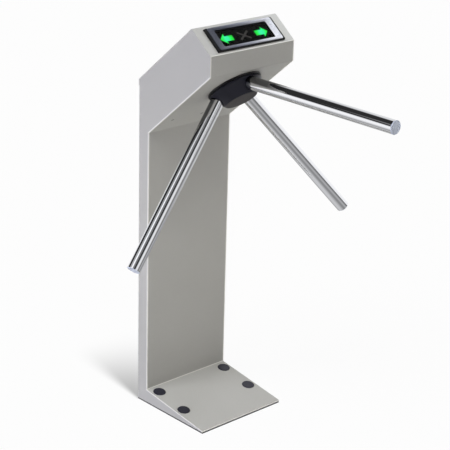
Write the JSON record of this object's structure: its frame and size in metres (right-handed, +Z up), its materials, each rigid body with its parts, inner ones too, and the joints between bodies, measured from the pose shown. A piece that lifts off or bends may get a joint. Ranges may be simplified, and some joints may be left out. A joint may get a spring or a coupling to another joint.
{
  "type": "tripod turnstile",
  "caption": "Waist-high tripod turnstile: slim grey column on a wedge base, tilted head with an arrow display, black rotating hub and chrome barrier arms.",
  "frame": {"origin": "middle of the floor anchor pattern, on the floor", "axes": "+Z up, -Y towards the passage and the level arm, +X along the walking direction"},
  "size_m": [0.7066, 0.6927, 0.9993],
  "materials": {
    "shell_paint": "fine satin powder coat",
    "base_paint": "matt",
    "plug_plastic": "satin moulded",
    "bare_steel": "satin",
    "fastener_steel": "satin",
    "bezel_plastic": "gloss",
    "trim_metal": "satin anodised",
    "display_glass": "smoked gloss",
    "mask_plastic": "matt",
    "green_lens": "lit",
    "dim_lens": "unlit",
    "circuit_board": "solder resist",
    "board_plastic": "moulded",
    "collar_black": "satin",
    "hub_black": "satin",
    "cap_grey": "satin",
    "arm_chrome": "polished",
    "cap_chrome": "satin",
    "shaft_steel": "ground",
    "bearing_steel": "polished",
    "housing_metal": "machined",
    "gear_brass": "machined",
    "disc_plastic": "matt",
    "damper_black": "matt",
    "spring_steel": "bright",
    "solenoid_metal": "zinc plated",
    "plunger_chrome": "polished",
    "lock_chrome": "polished",
    "lock_steel": "satin"
  },
  "bodies": {
    "stand": {"stand_shell": "shell_paint", "column_cover": "shell_paint", "head_cover": "shell_paint", "base_plate": "base_paint", "anchor_sleeves": "bare_steel", "anchor_plugs": "plug_plastic", "frame_posts": "bare_steel", "cover_screws": "fastener_steel", "underside_screws": "fastener_steel", "display_bezel": "bezel_plastic", "display_trim": "trim_metal", "display_glass": "display_glass", "symbol_mask": "mask_plastic", "arrow_left": "green_lens", "arrow_right": "green_lens", "cross_symbol": "dim_lens", "lamp_board": "circuit_board", "hub_collar": "collar_black", "mechanism_plate": "bare_steel", "plate_posts": "bare_steel", "rear_foot": "bare_steel", "bearing_housing": "housing_metal", "housing_screws": "fastener_steel", "lower_bearing": "bearing_steel", "upper_bearing": "bearing_steel", "position_sensor": "disc_plastic", "damper_body": "damper_black", "centring_spring": "spring_steel", "pivot_posts": "bare_steel", "pawl_spring_left": "spring_steel", "pawl_spring_right": "spring_steel", "solenoid_left": "solenoid_metal", "solenoid_right": "solenoid_metal", "control_board": "circuit_board", "board_parts": "board_plastic", "lock_barrel": "lock_chrome"},
    "rotor": {"hub_body": "hub_black", "hub_cap": "cap_grey", "hub_bolt": "fastener_steel", "arm_1": "arm_chrome", "arm_2": "arm_chrome", "arm_3": "arm_chrome", "arm_cap_1": "cap_chrome", "arm_cap_2": "cap_chrome", "arm_cap_3": "cap_chrome", "arm_root_plugs": "bare_steel", "arm_set_screws": "fastener_steel", "main_shaft": "shaft_steel", "shaft_screws": "fastener_steel", "index_wheel": "shaft_steel", "drive_gear": "gear_brass", "encoder_disc": "disc_plastic", "shaft_nut": "fastener_steel"},
    "crank": {"pinion": "gear_brass", "crank_disc": "shaft_steel"},
    "left_pawl": {"pawl_left": "shaft_steel"},
    "right_pawl": {"pawl_right": "shaft_steel"},
    "left_plunger": {"plunger_left": "plunger_chrome"},
    "right_plunger": {"plunger_right": "plunger_chrome"},
    "lock": {"lock_cam": "lock_steel"}
  },
  "joints": [
    {"name": "rotor_spin", "type": "hinge", "parent": "stand", "child": "rotor", "pos_m": [0, -0.08166, 0.84785], "axis": [0, 0.6455, 0.7638], "continuous": true},
    {"name": "crank_spin", "type": "hinge", "parent": "stand", "child": "crank", "pos_m": [0, -0.02046, 0.79614], "axis": [0, 0.6455, 0.7638], "continuous": true, "deforming": ["centring_spring"]},
    {"name": "left_pawl_swing", "type": "hinge", "parent": "stand", "child": "left_pawl", "pos_m": [-0.07, -0.01903, 0.79493], "axis": [0, 0.6455, 0.7638], "range_deg": [0, 16], "stiffness_Nm_per_rad": 1, "springref_deg": -11.46, "deforming": ["pawl_spring_left"]},
    {"name": "right_pawl_swing", "type": "hinge", "parent": "stand", "child": "right_pawl", "pos_m": [0.07, -0.01903, 0.79493], "axis": [0, -0.6455, -0.7638], "range_deg": [0, 16], "stiffness_Nm_per_rad": 1, "springref_deg": -11.46, "deforming": ["pawl_spring_right"]},
    {"name": "left_plunger_slide", "type": "slide", "parent": "stand", "child": "left_plunger", "axis": [0, -0.7638, 0.6455], "range_m": [0, 0.0068]},
    {"name": "right_plunger_slide", "type": "slide", "parent": "stand", "child": "right_plunger", "axis": [0, -0.7638, 0.6455], "range_m": [0, 0.0068]},
    {"name": "lock_turn", "type": "hinge", "parent": "stand", "child": "lock", "pos_m": [0.085, 0.08724, 0.84914], "axis": [0, -0.6455, -0.7638], "range_deg": [0, 90]}
  ],
  "couplings": [
    {"joint": "crank_spin", "follows": "rotor_spin", "ratio": -3},
    {"joint": "left_plunger_slide", "follows": "left_pawl_swing", "m_per_rad": 0.024157},
    {"joint": "right_plunger_slide", "follows": "right_pawl_swing", "m_per_rad": 0.024157}
  ]
}
